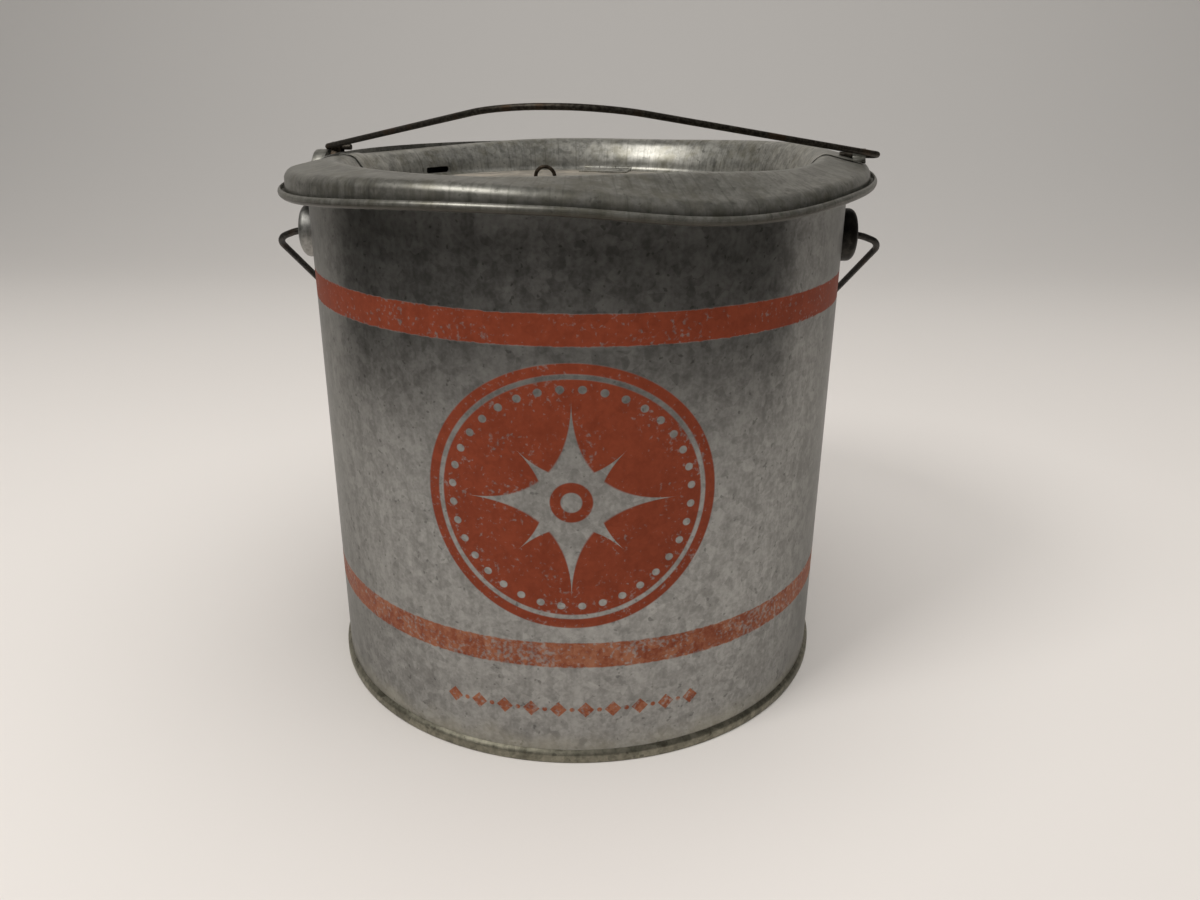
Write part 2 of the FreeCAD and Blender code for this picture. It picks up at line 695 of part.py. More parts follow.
def make_lid_plate():
    """The flat lid with a raised middle, a hemmed edge and two slots for the catch."""
    disc = new_body("lid_disc")
    hem = "(lid_radius - lid_hem)"
    flat = "(panel_radius - panel_slant)"
    under, over = f"{LID_PLATE} + panel_rise", f"{LID_TOP} + panel_rise"
    corners = [("0", under), (flat, under), ("panel_radius", LID_PLATE), (hem, LID_PLATE),
               (hem, LID_UNDER), ("lid_radius", LID_UNDER), ("lid_radius", LID_TOP),
               ("panel_radius", LID_TOP), (flat, over), ("0", over)]
    spun_body(disc, "lid_disc", corners)
    width = "(catch_wire + guide_gap)"
    front, back = f"0 - catch_place - catch_travel - {width}", f"0 - catch_place + {width}"
    low, high = f"{LID_UNDER} - overrun", f"{LID_TOP} + overrun"
    tools = []
    for side, sign in SIDES:
        middle = f"{sign} * catch_half"
        tools.append(box(f"catch_{side}_slot", (f"{middle} - {width}", front, low),
                         (f"{middle} + {width}", back, high)))
        tools.append(rod(f"guide_{side}_rivet_hole", "guide_rivet_radius + lap_fit",
                         (f"{sign} * {GUIDE_RIVET}", "0 - guide_place", low), "2 * overrun"))
    turned_tools = turned(joined("lid_catch_cuts", tools), "float_turn")
    return cut("lid_plate", disc, [turned_tools, leaf_rivet_holes("lid", "lid_rivet_place")])


def make_leaf(name, inward, height, length, rivet_place, spans):
    """A hinge leaf: a riveted plate, and knuckles that go round the pin."""
    sign = -1 if inward else 1
    top = f"{height} + leaf_sheet"
    near = f"hinge_place + {sign} * ({KNUCKLE} + hinge_clear)"
    far = f"hinge_place + {sign} * {length}"
    low_y, high_y = (far, near) if inward else (near, far)
    pieces = [box(name + "_plate", ("0 - leaf_half", low_y, height), ("leaf_half", high_y, top))]
    for number, (start, end) in enumerate(spans):
        low_y, high_y = (near, "hinge_place") if inward else ("hinge_place", near)
        pieces.append(box(f"{name}_tongue_{number}", (start, low_y, height), (end, high_y, top)))
        pieces.append(rod(f"{name}_knuckle_{number}", KNUCKLE, (start, "hinge_place", HINGE_HEIGHT),
                          f"({end}) - ({start})", Vector(1, 0, 0)))
    bore = rod(name + "_bore", "hinge_pin + hinge_fit",
               ("0 - leaf_half - overrun", "hinge_place", HINGE_HEIGHT),
               "2 * (leaf_half + overrun)", Vector(1, 0, 0))
    holes = [rod(f"{name}_{side}_hole", "rivet_radius + lap_fit",
                 (f"{mark} * leaf_rivet_half", rivet_place, f"{height} - overrun"), "2 * overrun")
             for side, mark in SIDES]
    return turned(cut(name, joined(name + "_blank", pieces), [bore] + holes), "float_turn")


def make_leaf_rivets(name, place, low, high):
    """The two rivets of a leaf, which clamp it between two heights."""
    pair = [rivet(f"{name}_{side}", f"{sign} * leaf_rivet_half", place, low, high,
                  "rivet_radius", "rivet_head", "rivet_head_height")
            for side, sign in SIDES]
    return turned(grouped(name, pair), "float_turn")


def make_hinge_pin():
    """The straight pin through both leaves."""
    start = ("0 - leaf_half", "hinge_place", HINGE_HEIGHT)
    bar = rod("hinge_bar", "hinge_pin", start, "2 * leaf_half", Vector(1, 0, 0))
    return turned(grouped("lid_hinge_pin", [bar]), "float_turn")


def make_catch():
    """One wire bent into a finger loop above the lid and two bolts below it."""
    arch_height = term(f"{LID_TOP} + catch_rise - catch_half")
    upright = Rotation(Vector(1, 0, 0), Vector(0, 0, 1), Vector(0, -1, 0), "XYZ")
    elbow = Rotation(Vector(0, 0, -1), Vector(0, 1, 0), Vector(1, 0, 0), "XYZ")
    place = "0 - catch_place"
    pieces = [ring("catch_arch", "catch_half", "catch_wire", ("0", place, arch_height), "180", upright)]
    for side, sign in SIDES:
        x = f"{sign} * catch_half"
        pieces += [
            rod(f"catch_{side}_leg", "catch_wire", (x, place, f"{FINGER_HEIGHT} + catch_bend_radius"),
                f"{arch_height} - {FINGER_HEIGHT} - catch_bend_radius"),
            ring(f"catch_{side}_elbow", "catch_bend_radius", "catch_wire",
                 (x, f"{place} - catch_bend_radius", f"{FINGER_HEIGHT} + catch_bend_radius"), "90", elbow),
            rod(f"catch_{side}_bolt", "catch_wire", (x, f"{place} - catch_bend_radius", FINGER_HEIGHT),
                "catch_reach - catch_bend_radius", Vector(0, -1, 0)),
        ]
    return turned(joined("catch_wire", pieces), "float_turn")


def make_catch_guide():
    """A strap under the lid that the two bolts slide through."""
    front, back = "0 - guide_place - guide_depth / 2", "0 - guide_place + guide_depth / 2"
    ceiling = term(f"{LID_PLATE} - lap_fit")
    bottom = f"{GUIDE_FLOOR} - guide_sheet"
    pieces = [box("guide_floor", (f"0 - {GUIDE_OUTSIDE}", front, bottom),
                  (GUIDE_OUTSIDE, back, GUIDE_FLOOR))]
    holes = []
    for side, sign in SIDES:
        for which, far, low in (("wall", GUIDE_OUTSIDE, bottom),
                                ("flange", "guide_half", f"{ceiling} - guide_sheet")):
            start, end = (f"0 - {far}", f"0 - {GUIDE_INSIDE}") if sign < 0 else (GUIDE_INSIDE, far)
            pieces.append(box(f"guide_{side}_{which}", (start, front, low), (end, back, ceiling)))
        holes.append(rod(f"guide_{side}_hole", "guide_rivet_radius + lap_fit",
                         (f"{sign} * {GUIDE_RIVET}", "0 - guide_place", f"{ceiling} - overrun"),
                         "2 * overrun"))
    return turned(cut("catch_guide", joined("guide_blank", pieces), holes), "float_turn")


def make_guide_rivets():
    """The two rivets that hold the guide to the lid."""
    low = f"{LID_PLATE} - lap_fit - guide_sheet"
    pair = [rivet(f"guide_rivet_{side}", f"{sign} * {GUIDE_RIVET}", "0 - guide_place", low, LID_TOP,
                  "guide_rivet_radius", "guide_rivet_head", "guide_sheet")
            for side, sign in SIDES]
    return turned(grouped("catch_guide_rivets", pair), "float_turn")


nodes = {
    "pail_wall": make_pail_wall(),
    "pail_rim_wire": ring("pail_rim_wire", RIM_RADIUS, "rim_wire", ("0", "0", RIM_HEIGHT)),
    "pail_bottom": make_pail_bottom(),
    "pail_ear_right": make_pail_ear("pail_ear_right", "0"),
    "pail_ear_left": make_pail_ear("pail_ear_left", "180"),
    "pail_bail": make_pail_bail(),
    "float_collar": make_float_collar(),
    "collar_bead_wire": ring("collar_bead_wire", BEAD_RADIUS, "bead_wire", ("0", "0", BEAD_HEIGHT)),
    "float_ledge": make_float_ledge(),
    "throat_tube": make_throat_tube(),
    "air_chamber_floor": make_air_chamber_floor(),
    "well_band": make_well_band(),
    "well_screen": make_well_screen(),
    "well_floor": make_well_floor(),
    "float_ear_right": make_float_ear("float_ear_right", "float_turn"),
    "float_ear_left": make_float_ear("float_ear_left", "float_turn + 180"),
    "float_bail": make_float_bail(),
    "lid_plate": make_lid_plate(),
    "lid_hinge_leaf": make_leaf("lid_hinge_leaf", True, LID_LEAF, "lid_leaf_length",
                                "lid_rivet_place", MIDDLE_KNUCKLE),
    "ledge_hinge_leaf": make_leaf("ledge_hinge_leaf", False, LEDGE_LEAF, "ledge_leaf_length",
                                  "ledge_rivet_place", OUTER_KNUCKLES),
    "hinge_pin": make_hinge_pin(),
    "lid_leaf_rivets": make_leaf_rivets("lid_leaf_rivets", "lid_rivet_place", LID_PLATE,
                                        f"{LID_LEAF} + leaf_sheet"),
    "ledge_leaf_rivets": make_leaf_rivets("ledge_leaf_rivets", "ledge_rivet_place",
                                          f"{LEDGE} - {LAP} - sheet",
                                          f"{LEDGE_LEAF} + leaf_sheet"),
    "catch_wire": make_catch(),
    "catch_guide": make_catch_guide(),
    "catch_guide_rivets": make_guide_rivets(),
}

doc.recompute()
failed = [o.Name for o in doc.Objects if {"Invalid", "Error"} & set(o.State)]
if failed:
    raise RuntimeError("not built: " + ", ".join(failed))
os.makedirs("parts", exist_ok=True)
for name, piece in nodes.items():
    piece.Label = name
    if piece.Shape.isNull() or not piece.Shape.isValid():
        raise RuntimeError("bad shape: " + name)
    piece.Shape.exportStep(f"parts/{name}.step")
    print(f"{name}: {len(piece.Shape.Solids)} solid, {piece.Shape.Volume:.1f} cubic mm")
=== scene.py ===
import bmesh
import bpy
import json
import math
from mathutils import Matrix, Vector


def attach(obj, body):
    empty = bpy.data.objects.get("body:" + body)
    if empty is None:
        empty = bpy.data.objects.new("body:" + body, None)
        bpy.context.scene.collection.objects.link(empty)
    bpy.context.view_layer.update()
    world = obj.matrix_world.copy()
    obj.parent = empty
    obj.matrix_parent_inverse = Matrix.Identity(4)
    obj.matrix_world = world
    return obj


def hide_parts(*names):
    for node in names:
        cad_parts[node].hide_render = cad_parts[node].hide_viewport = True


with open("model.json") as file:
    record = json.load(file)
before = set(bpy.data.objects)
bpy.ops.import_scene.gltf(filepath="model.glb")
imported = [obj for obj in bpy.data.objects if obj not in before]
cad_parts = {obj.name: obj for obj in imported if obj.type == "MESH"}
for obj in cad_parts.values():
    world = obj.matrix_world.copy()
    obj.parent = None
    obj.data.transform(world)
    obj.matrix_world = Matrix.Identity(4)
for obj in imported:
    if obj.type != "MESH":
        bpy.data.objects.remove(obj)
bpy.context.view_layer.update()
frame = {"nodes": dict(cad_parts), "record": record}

# Sizes are in millimetres here, and in metres in Blender. Z is up, and the front faces -Y.
MM = 0.001
SHEET = 0.6
SIDES = 192
# A point this near a ring lies on it.
NEAR = 0.02
WALL = 114.3
RIM = (116.25, 223.45)
PAIL_AXIS = 196.0
FLOAT_AXIS = 231.524
FLOAT_TURN = -9.5


# Modelling steps

def start_piece():
    """Leave any open mode and let go of everything, so that only the new piece is worked on."""
    if bpy.context.object and bpy.context.object.mode != "OBJECT":
        bpy.ops.object.mode_set(mode="OBJECT")
    bpy.ops.object.select_all(action="DESELECT")


def work_on(piece):
    start_piece()
    piece.select_set(True)
    bpy.context.view_layer.objects.active = piece
    return piece


def settle(piece):
    """Put a piece's place and turn into its mesh."""
    work_on(piece)
    bpy.ops.object.transform_apply(location=True, rotation=True, scale=True)
    return piece


def apply_modifier(piece, kind, **settings):
    work_on(piece)
    modifier = piece.modifiers.new(kind.lower(), kind)
    for name, setting in settings.items():
        setattr(modifier, name, setting)
    bpy.ops.object.modifier_apply(modifier=modifier.name)
    return piece


def radius_of(place):
    return math.hypot(place.x, place.y) / MM


def angle_of(place):
    """Degrees round the bucket: 0 to the right, -90 at the front."""
    return math.degrees(math.atan2(place.y, place.x))


def spun_shell(name, section, outside_left, sides=SIDES):
    """A sheet shell drawn ring by ring from a section of radii and heights, with its outside faced."""
    start_piece()
    radius, height = section[0]
    bpy.ops.mesh.primitive_circle_add(vertices=sides, radius=radius * MM, enter_editmode=True)
    piece = bpy.context.object
    piece.name = name
    bpy.ops.transform.translate(value=(0, 0, height * MM))
    for next_radius, next_height in section[1:]:
        rise = (next_height - height) * MM
        bpy.ops.mesh.extrude_region_move(TRANSFORM_OT_translate={"value": (0, 0, rise)})
        share = next_radius / radius
        bpy.ops.transform.resize(value=(share, share, 1), center_override=(0, 0, next_height * MM))
        radius, height = next_radius, next_height
    bpy.ops.mesh.select_all(action="SELECT")
    bpy.ops.mesh.normals_make_consistent(inside=False)
    bpy.ops.object.mode_set(mode="OBJECT")
    face_out(piece, section, outside_left)
    return piece


def face_out(piece, section, outside_left):
    """Turn the faces over where the first strip of the section looks the wrong way."""
    (near, low), (far, high) = section[:2]
    middle = Vector(((near + far) / 2, (low + high) / 2))
    strip = min(piece.data.polygons,
                key=lambda face: (Vector((radius_of(face.center), face.center.z / MM)) - middle).length)
    across = Vector((low - high, far - near)) * (1 if outside_left else -1)
    outward = strip.center.xy.normalized() * across.x
    if strip.normal.dot(Vector((outward.x, outward.y, across.y))) < 0:
        work_on(piece)
        bpy.ops.object.mode_set(mode="EDIT")
        bpy.ops.mesh.select_all(action="SELECT")
        bpy.ops.mesh.flip_normals()
        bpy.ops.object.mode_set(mode="OBJECT")


def round_ring(piece, radius, height, width, segments=6):
    """Round the crease of one ring over a width to each side of it."""
    work_on(piece)
    bpy.ops.object.mode_set(mode="EDIT")
    bpy.ops.mesh.select_mode(type="EDGE")
    bpy.ops.mesh.select_all(action="DESELECT")
    mesh = bmesh.from_edit_mesh(piece.data)
    for edge in mesh.edges:
        if all(abs(radius_of(v.co) - radius) < NEAR and abs(v.co.z / MM - height) < NEAR for v in edge.verts):
            edge.select_set(True)
    bmesh.update_edit_mesh(piece.data)
    bpy.ops.mesh.bevel(offset=width * MM, segments=segments, affect="EDGES")
    bpy.ops.mesh.select_mode(type="VERT")
    bpy.ops.object.mode_set(mode="OBJECT")


def curl(centre, radius, start, sweep, steps=14):
    """Section points round a wire, from a start angle through a sweep, in degrees."""
    places = []
    for step in range(1, steps + 1):
        angle = math.radians(start + sweep * step / steps)
        places.append((centre[0] + radius * math.cos(angle), centre[1] + radius * math.sin(angle)))
    return places


def press(piece, name, travel, share):
    """Push a piece's points up by the share of a travel that their place gives."""
    group = piece.vertex_groups.new(name=name)
    for vertex in piece.data.vertices:
        weight = share(radius_of(vertex.co), angle_of(vertex.co), vertex.co.z / MM)
        group.add([vertex.index], min(1.0, max(0.0, weight)), "REPLACE")
    apply_modifier(piece, "DISPLACE", direction="Z", mid_level=0.0, strength=travel * MM, vertex_group=name)
    piece.vertex_groups.remove(piece.vertex_groups[name])


def thicken(piece, thickness=SHEET, offset=-1.0):
    return apply_modifier(piece, "SOLIDIFY", thickness=thickness * MM, offset=offset, use_even_offset=True)


def smooth(piece, angle=35.0):
    work_on(piece)
    bpy.ops.object.shade_smooth_by_angle(angle=math.radians(angle))
    return piece


def drawn_path(name, corners, bends):
    """A line drawn from a point through corners, with some of them rounded over a run, left in edit mode."""
    start_piece()
    bpy.ops.mesh.primitive_plane_add(size=MM, enter_editmode=True)
    piece = bpy.context.object
    piece.name = name
    bpy.ops.mesh.merge(type="CENTER")
    places = [Vector(corner) * MM for corner in corners]
    bpy.ops.transform.translate(value=places[0])
    for before, after in zip(places, places[1:]):
        bpy.ops.mesh.extrude_region_move(TRANSFORM_OT_translate={"value": after - before})
    for index, (width, segments) in bends.items():
        bpy.ops.mesh.select_all(action="DESELECT")
        mesh = bmesh.from_edit_mesh(piece.data)
        nearest = min(mesh.verts, key=lambda v: (v.co - places[index]).length)
        nearest.select_set(True)
        bmesh.update_edit_mesh(piece.data)
        bpy.ops.mesh.bevel(offset=width * MM, segments=segments, affect="VERTICES")
    return piece


def bent_wire(name, corners, bends, wire):
    """A round wire: its line, then its thickness."""
    drawn_path(name, corners, bends)
    bpy.ops.object.mode_set(mode="OBJECT")
    bpy.ops.object.convert(target="CURVE")
    piece = bpy.context.object
    piece.data.bevel_depth = wire * MM
    piece.data.bevel_resolution = 4
    piece.data.use_fill_caps = True
    bpy.ops.object.convert(target="MESH")
    return smooth(bpy.context.object)


def spun_strip(name, section, bends, spread, outside_left):
    """A strip of sheet drawn from a section and spun part of the way round, across the X axis."""
    strip = drawn_path(name, [(radius, 0, height) for radius, height in section], bends)
    bpy.ops.mesh.select_all(action="SELECT")
    bpy.ops.mesh.spin(steps=12, angle=math.radians(spread), center=(0, 0, 0), axis=(0, 0, 1))
    bpy.ops.mesh.select_all(action="SELECT")
    bpy.ops.mesh.remove_doubles(threshold=1e-6)
    bpy.ops.mesh.normals_make_consistent(inside=False)
    bpy.ops.object.mode_set(mode="OBJECT")
    angles = [angle_of(vertex.co) for vertex in strip.data.vertices]
    turn_about(strip, "Z", -(min(angles) + max(angles)) / 2)
    face_out(strip, section, outside_left)
    return strip


def pick(piece, chosen):
    """Open a piece for editing with only the points picked that a test chooses."""
    work_on(piece)
    bpy.ops.object.mode_set(mode="EDIT")
    bpy.ops.mesh.select_mode(type="VERT")
    bpy.ops.mesh.select_all(action="DESELECT")
    mesh = bmesh.from_edit_mesh(piece.data)
    for vertex in mesh.verts:
        vertex.select_set(chosen(vertex.co))
    mesh.select_flush(True)
    bmesh.update_edit_mesh(piece.data)


def close_middle(piece, radius):
    """Fill the round opening that lies within a radius."""
    pick(piece, lambda place: radius_of(place) < radius)
    bpy.ops.mesh.edge_face_add()
    bpy.ops.object.mode_set(mode="OBJECT")


def cut_away(piece, cutter):
    """Take a cutter's room out of a piece, and drop the cutter."""
    apply_modifier(piece, "BOOLEAN", operation="DIFFERENCE", solver="EXACT", object=cutter)
    bpy.data.objects.remove(cutter)


def block(low, high, turn, rounding):
    """A box with rounded edges between two corners, turned about the bucket's axis, to cut with."""
    start_piece()
    bpy.ops.mesh.primitive_cube_add(size=1.0)
    cutter = bpy.context.object
    low, high = Vector(low) * MM, Vector(high) * MM
    cutter.scale, cutter.location = high - low, (low + high) / 2
    settle(cutter)
    apply_modifier(cutter, "BEVEL", width=rounding * MM, segments=4)
    return turn_about(cutter, "Z", turn)


def turn_about(piece, axis, angle, place=(0, 0, 0)):
    """Turn a piece about an axis through the origin, then lift it to its place."""
    piece.rotation_euler = Matrix.Rotation(math.radians(angle), 3, axis).to_euler()
    piece.location = Vector(place) * MM
    return settle(piece)


# Finishes

class Finish:
    """A material in the making: its shader, and the nodes that feed it."""

    def __init__(self, name):
        self.material = bpy.data.materials.new(name)
        self.material.use_nodes = True
        self.tree = self.material.node_tree
        self.shader = self.tree.nodes["Principled BSDF"]
        self.place = self.add("ShaderNodeTexCoord").outputs["Object"]
        parts = self.add("ShaderNodeSeparateXYZ", {"Vector": self.place})
        self.x, self.y, self.z = (self.work("MULTIPLY", axis, 1 / MM) for axis in parts.outputs)

    def join(self, feed, socket):
        if isinstance(feed, bpy.types.NodeSocket):
            self.tree.links.new(feed, socket)
        else:
            socket.default_value = feed

    def add(self, kind, feeds=None, **settings):
        node = self.tree.nodes.new(kind)
        for name, setting in settings.items():
            setattr(node, name, setting)
        for socket, feed in (feeds or {}).items():
            self.join(feed, node.inputs[socket])
        return node

    def work(self, operation, *terms):
        node = self.add("ShaderNodeMath", operation=operation)
        for socket, term in zip(node.inputs, terms):
            self.join(term, socket)
        return node.outputs[0]

    def total(self, *shares):
        """A weighted sum: each share is a weight and what it weighs."""
        result = 0.0
        for weight, feed in shares:
            result = self.work("MULTIPLY_ADD", feed, weight, result)
        return result

    def step(self, feed, low, high):
        """From nought at low to one at high, smoothly."""
        node = self.add("ShaderNodeMapRange", {"Value": feed, "From Min": low, "From Max": high},
                        interpolation_type="SMOOTHSTEP")
        return node.outputs["Result"]

    def band(self, feed, low, high, edge):
        """One between two values, and nought outside them."""
        rising = self.step(feed, low - edge, low + edge)
        return self.work("SUBTRACT", rising, self.step(feed, high - edge, high + edge))

    def under(self, feed, limit, edge):
        return self.work("SUBTRACT", 1.0, self.step(feed, limit - edge, limit + edge))

    def cloud(self, size, detail=3.0, stretch=(1, 1, 1), seed=0.0, where=None):
        """Noise in patches about a size across, drawn out along an axis by its stretch."""
        scale = [1 / (size * MM * along) for along in stretch]
        spot = self.add("ShaderNodeMapping", {"Vector": where or self.place, "Scale": scale,
                                              "Location": (seed, seed / 2, seed / 3)})
        noise = self.add("ShaderNodeTexNoise", {"Vector": spot.outputs[0], "Scale": 1.0, "Detail": detail})
        return noise.outputs["Fac"]

    def crystals(self, size):
        """Patches with straight sides, each of its own brightness."""
        cells = self.add("ShaderNodeTexVoronoi", {"Vector": self.place, "Scale": 1 / (size * MM)})
        return self.add("ShaderNodeSeparateColor", {"Color": cells.outputs["Color"]}).outputs[0]

    def tint(self, share, first, second):
        """A colour between two, or between one and another node's."""
        node = self.add("ShaderNodeMix", data_type="RGBA")
        for socket, feed in ((0, share), (6, first), (7, second)):
            colour = isinstance(feed, tuple) and len(feed) == 3
            self.join((*feed, 1.0) if colour else feed, node.inputs[socket])
        return node.outputs[2]

    def around(self):
        """Radians from the front of the bucket, growing to the right."""
        return self.work("ARCTAN2", self.x, self.work("MULTIPLY", self.y, -1.0))

    def relief(self, height, depth, strength=1.0):
        bump = self.add("ShaderNodeBump", {"Height": height, "Distance": depth * MM, "Strength": strength})
        self.join(bump.outputs["Normal"], self.shader.inputs["Normal"])

    def finish(self, colour, roughness, metallic):
        self.join(colour, self.shader.inputs["Base Color"])
        self.join(roughness, self.shader.inputs["Roughness"])
        self.join(metallic, self.shader.inputs["Metallic"])
        return self.material


def zinc(finish, dark, light, seed=0.0):
    """Old galvanising: grain, spangle, soft clouds and upright streaks, with dark specks and pale bloom."""
    fine = finish.cloud(1.5, 2.0, seed=seed + 1)
    mid = finish.cloud(5.0, 3.0, seed=seed + 2)
    broad = finish.cloud(30.0, 4.0, seed=seed + 3)
    streaks = finish.cloud(3.0, 2.0, stretch=(1, 1, 9), seed=seed + 4)
    spangle = finish.crystals(3.6)
    level = finish.total((0.26, fine), (0.28, mid), (0.2, broad), (0.16, streaks), (0.1, spangle))
    colour = finish.tint(finish.step(level, 0.34, 0.66), dark, light)
    specks = finish.step(finish.cloud(2.4, 1.0, seed=seed + 5), 0.68, 0.75)
    colour = finish.tint(finish.work("MULTIPLY", specks, 0.5), colour, tuple(0.35 * part for part in dark))
    bloom = finish.step(finish.cloud(6.0, 4.0, seed=seed + 6), 0.6, 0.72)
    colour = finish.tint(finish.work("MULTIPLY", bloom, 0.4), colour, tuple(1.25 * part for part in light))
    return colour, level


# Tints a colour towards a stain, or towards painted shade.
def tint_with_stain_or_painted_shade(finish, colour, amount, stain):
    return finish.tint(amount, colour, stain)


UPPER_BAND = (175.3, 186.8)
LOWER_BAND = (45.5, 56.6)


def printed_wall():
    """Galvanised wall with two printed bands, a round badge of no meaning and a row of lozenges."""
    finish = Finish("printed_wall")
    metal, level = zinc(finish, (0.2, 0.197, 0.188), (0.37, 0.367, 0.352))
    low = finish.total((1.0, finish.under(finish.z, 14.0, 14.0)), (0.9, finish.cloud(14.0, 4.0, seed=9.0)))
    grime = finish.work("MULTIPLY", finish.step(low, 0.85, 1.6), 0.5)
    metal = tint_with_stain_or_painted_shade(finish, metal, grime, (0.36, 0.33, 0.24))
    rough_edge = finish.total((1.0, finish.z), (1.1, finish.cloud(2.2, 3.0, seed=11.0)))
    edge = 0.3
    bands = finish.work("MAXIMUM", finish.band(rough_edge, *UPPER_BAND, edge),
                        finish.band(rough_edge, *LOWER_BAND, edge))
    along = finish.work("MULTIPLY", finish.around(), WALL)
    printed = finish.work("MAXIMUM", bands, badge(finish, along))
    printed = finish.work("MAXIMUM", printed, lozenges(finish, along))
    outer_face = finish.step(distance(finish, finish.x, finish.y), WALL - 0.4, WALL - 0.2)
    printed = finish.work("MULTIPLY", printed, outer_face)
    rubbed = finish.total((0.7, finish.cloud(1.6, 4.0, seed=13.0)), (0.3, finish.cloud(18.0, 4.0, seed=14.0)))
    lower = finish.under(finish.z, 62.0, 4.0)
    rubbed = finish.total((1.0, rubbed), (0.06, lower))
    worn = finish.work("MULTIPLY", finish.step(rubbed, 0.55, 0.7), 0.6)
    cover = finish.work("MULTIPLY", printed, finish.work("SUBTRACT", 0.98, worn))
    # Painted light: the lower band gets a lighter, more orange red, standing in for the stronger light low on
    # the wall.
    paint = finish.tint(lower, (0.26, 0.049, 0.019), (0.37, 0.15, 0.08))
    paint = finish.tint(finish.step(level, 0.3, 0.7), (0.19, 0.034, 0.013), paint)
    colour = finish.tint(cover, metal, paint)
    roughness = finish.total((0.26, level), (0.24, cover), (0.2, 1.0))
    finish.join(finish.total((-0.38, cover), (0.5, 1.0)), finish.shader.inputs["Specular IOR Level"])
    bare = finish.work("SUBTRACT", 1.0, cover)
    metallic = finish.work("MULTIPLY", bare, finish.total((-0.6, grime), (0.97, 1.0)))
    finish.join((0.62, 0.62, 0.61, 1.0), finish.shader.inputs["Specular Tint"])
    finish.relief(finish.total((0.6, level), (0.25, cover)), 0.1, 0.4)
    return finish.finish(colour, roughness, metallic)


def badge(finish, along):
    """A round badge with a bare ring, a dotted ring and an eight-pointed star."""
    middle, half_width, half_height, soft = 116.0, 56.0, 53.0, 0.006
    dot_count, dot_ring, dot_radius, dot_track, reach_size = 36, 0.82, 1.5, 44.0, 54.0
    long_arm, short_arm, slant, hub_inside, hub_outside = 40.0, 29.0, 0.7071, 4.0, 8.0
    up = finish.work("SUBTRACT", finish.z, middle)
    wide, tall = finish.work("DIVIDE", along, half_width), finish.work("DIVIDE", up, half_height)
    reach = finish.work("SQRT", finish.total((1.0, finish.work("MULTIPLY", wide, wide)),
                                             (1.0, finish.work("MULTIPLY", tall, tall))))
    disc = finish.under(reach, 1.0, soft)
    ring = finish.band(reach, 0.89, 0.925, soft)
    turn = finish.work("ARCTAN2", tall, wide)
    steps = finish.work("FRACT", finish.work("MULTIPLY", turn, dot_count / math.tau))
    sideways = finish.work("MULTIPLY", finish.work("SUBTRACT", steps, 0.5), math.tau * dot_track / dot_count)
    outward = finish.work("MULTIPLY", finish.work("SUBTRACT", reach, dot_ring), reach_size)
    dots = finish.under(distance(finish, sideways, outward), dot_radius, 0.2)
    hub = distance(finish, along, up)
    star = finish.work("MAXIMUM", star_of(finish, along, up, long_arm),
                       star_of(finish, finish.total((slant, along), (slant, up)),
                               finish.total((-slant, along), (slant, up)), short_arm))
    bare = finish.work("MAXIMUM", finish.work("MAXIMUM", ring, dots), star)
    bare = finish.work("SUBTRACT", bare, finish.band(hub, hub_inside, hub_outside, 0.3))
    bare = finish.work("MAXIMUM", bare, 0.0)
    return finish.work("SUBTRACT", disc, finish.work("MULTIPLY", bare, disc))


def distance(finish, across, up):
    return finish.work("SQRT", finish.total((1.0, finish.work("MULTIPLY", across, across)),
                                            (1.0, finish.work("MULTIPLY", up, up))))


def star_of(finish, across, up, length):
    """A star of four points, as long as given."""
    power = 0.5
    arms = [finish.work("POWER", finish.work("DIVIDE", finish.work("ABSOLUTE", side), length), power)
            for side in (across, up)]
    return finish.under(finish.work("ADD", *arms), 1.0, 0.02)


def lozenges(finish, along):
    """A row of lozenges with a dot between each two."""
    pitch, middle, half_width, half_height, dot_radius, half_row = 11.0, 25.0, 3.4, 3.6, 1.0, 53.5
    up = finish.work("SUBTRACT", finish.z, middle)
    steps = finish.work("FRACT", finish.work("DIVIDE", along, pitch))
    between = finish.work("MULTIPLY", finish.work("SUBTRACT", steps, 0.5), pitch)
    half = finish.work("FRACT", finish.work("ADD", steps, 0.5))
    beside = finish.work("MULTIPLY", finish.work("SUBTRACT", half, 0.5), pitch)
    shape = finish.total((1 / half_width, finish.work("ABSOLUTE", between)),
                         (1 / half_height, finish.work("ABSOLUTE", up)))
    marks = finish.work("MAXIMUM", finish.under(shape, 1.0, 0.05),
                        finish.under(distance(finish, beside, up), dot_radius, 0.2))
    return finish.work("MULTIPLY", marks, finish.under(finish.work("ABSOLUTE", along), half_row, 0.1))


def galvanised_sheet(name="galvanised_sheet", dark=(0.17, 0.167, 0.155), light=(0.4, 0.395, 0.37), seed=20.0):
    finish = Finish(name)
    colour, level = zinc(finish, dark, light, seed)
    finish.relief(level, 0.1, 0.4)
    return finish.finish(colour, finish.total((0.3, level), (0.34, 1.0)), 0.85)


